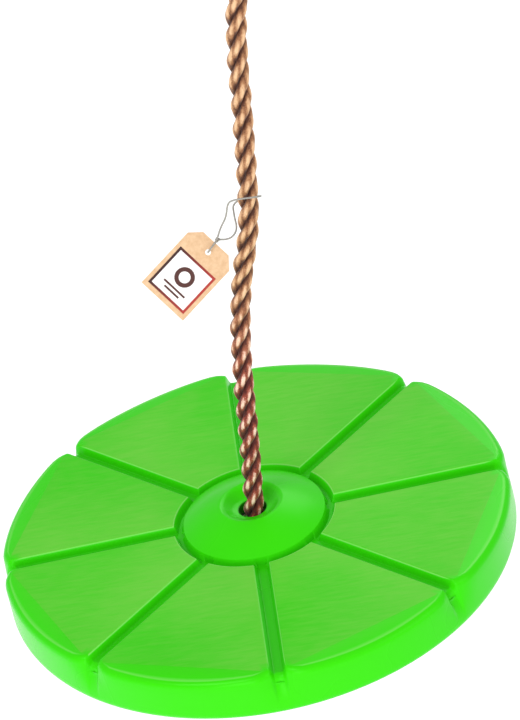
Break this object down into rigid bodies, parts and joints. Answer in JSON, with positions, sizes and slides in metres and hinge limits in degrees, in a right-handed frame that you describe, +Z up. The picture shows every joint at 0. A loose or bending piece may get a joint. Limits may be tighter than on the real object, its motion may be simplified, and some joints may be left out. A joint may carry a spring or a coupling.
{
  "type": "plate swing",
  "caption": "Round grooved plastic plate swing seat held on a knotted rope, with a spliced eye, welded ring, snap hook and hang tag.",
  "frame": {"origin": "the hang point, on the inside of the snap hook's top bow", "axes": "+Z up along the hanging rope, +X across the snap hook's opening side to side, +Y through the hook's bow"},
  "size_m": [0.2953, 0.295, 0.5875],
  "materials": {
    "green_plastic": "moulded, satin gloss, with fine brushed grain on the pads",
    "hemp_rope": "three-strand twisted rope, fibrous, hemp coloured",
    "whipping_twine": "waxed twine, wound tight",
    "zinc_steel": "bright zinc plated",
    "spring_steel": "drawn spring wire",
    "kraft_card": "uncoated brown card",
    "label_paper": "matt printed paper with a plain dark border",
    "grey_string": "thin twisted cotton string"
  },
  "bodies": {
    "hook": {"hook_body": "zinc_steel", "gate_rivet": "zinc_steel"},
    "gate": {"hook_gate": "zinc_steel", "gate_plunger": "zinc_steel", "gate_spring": "spring_steel"},
    "ring": {"hang_ring": "zinc_steel"},
    "rope": {"rope_main": "hemp_rope", "rope_splice": "hemp_rope", "rope_eye": "hemp_rope", "eye_seizing": "whipping_twine", "stopper_knot": "hemp_rope", "rope_tail": "hemp_rope", "tail_whipping": "whipping_twine"},
    "washer": {"knot_washer": "zinc_steel"},
    "seat": {"seat_disc": "green_plastic"},
    "tag_loop": {"tag_string": "grey_string", "string_knot": "grey_string"},
    "tag": {"tag_card": "kraft_card", "tag_label": "label_paper"}
  },
  "joints": [
    {"name": "gate_swing", "type": "hinge", "parent": "hook", "child": "gate", "pos_m": [-0.00943, 0, -0.03012], "axis": [0, 1, 0], "range_deg": [0, 20], "stiffness_Nm_per_rad": 0.02, "springref_deg": -20.05},
    {"name": "ring_swing", "type": "hinge", "parent": "hook", "child": "ring", "pos_m": [0, 0, -0.051], "axis": [1, 0, 0], "range_deg": [-50, 50]},
    {"name": "rope_swing", "type": "hinge", "parent": "ring", "child": "rope", "pos_m": [0, 0, -0.0807], "axis": [0, 1, 0], "range_deg": [-40, 40]},
    {"name": "seat_tilt", "type": "hinge", "parent": "rope", "child": "washer", "pos_m": [0, 0, -0.5229], "axis": [0, 1, 0], "range_deg": [-1, 19]},
    {"name": "seat_spin", "type": "hinge", "parent": "washer", "child": "seat", "pos_m": [0, 0, -0.5229], "axis": [-0.1564, 0, 0.9877], "continuous": true},
    {"name": "tag_turn", "type": "hinge", "parent": "rope", "child": "tag_loop", "pos_m": [0.0028, -0.0003, -0.3069], "axis": [0, 0, 1], "continuous": true},
    {"name": "card_swing", "type": "hinge", "parent": "tag_loop", "child": "tag", "pos_m": [-0.0201, 0, -0.339], "axis": [0, -0.809, 0.5878], "range_deg": [-18, 18]}
  ]
}
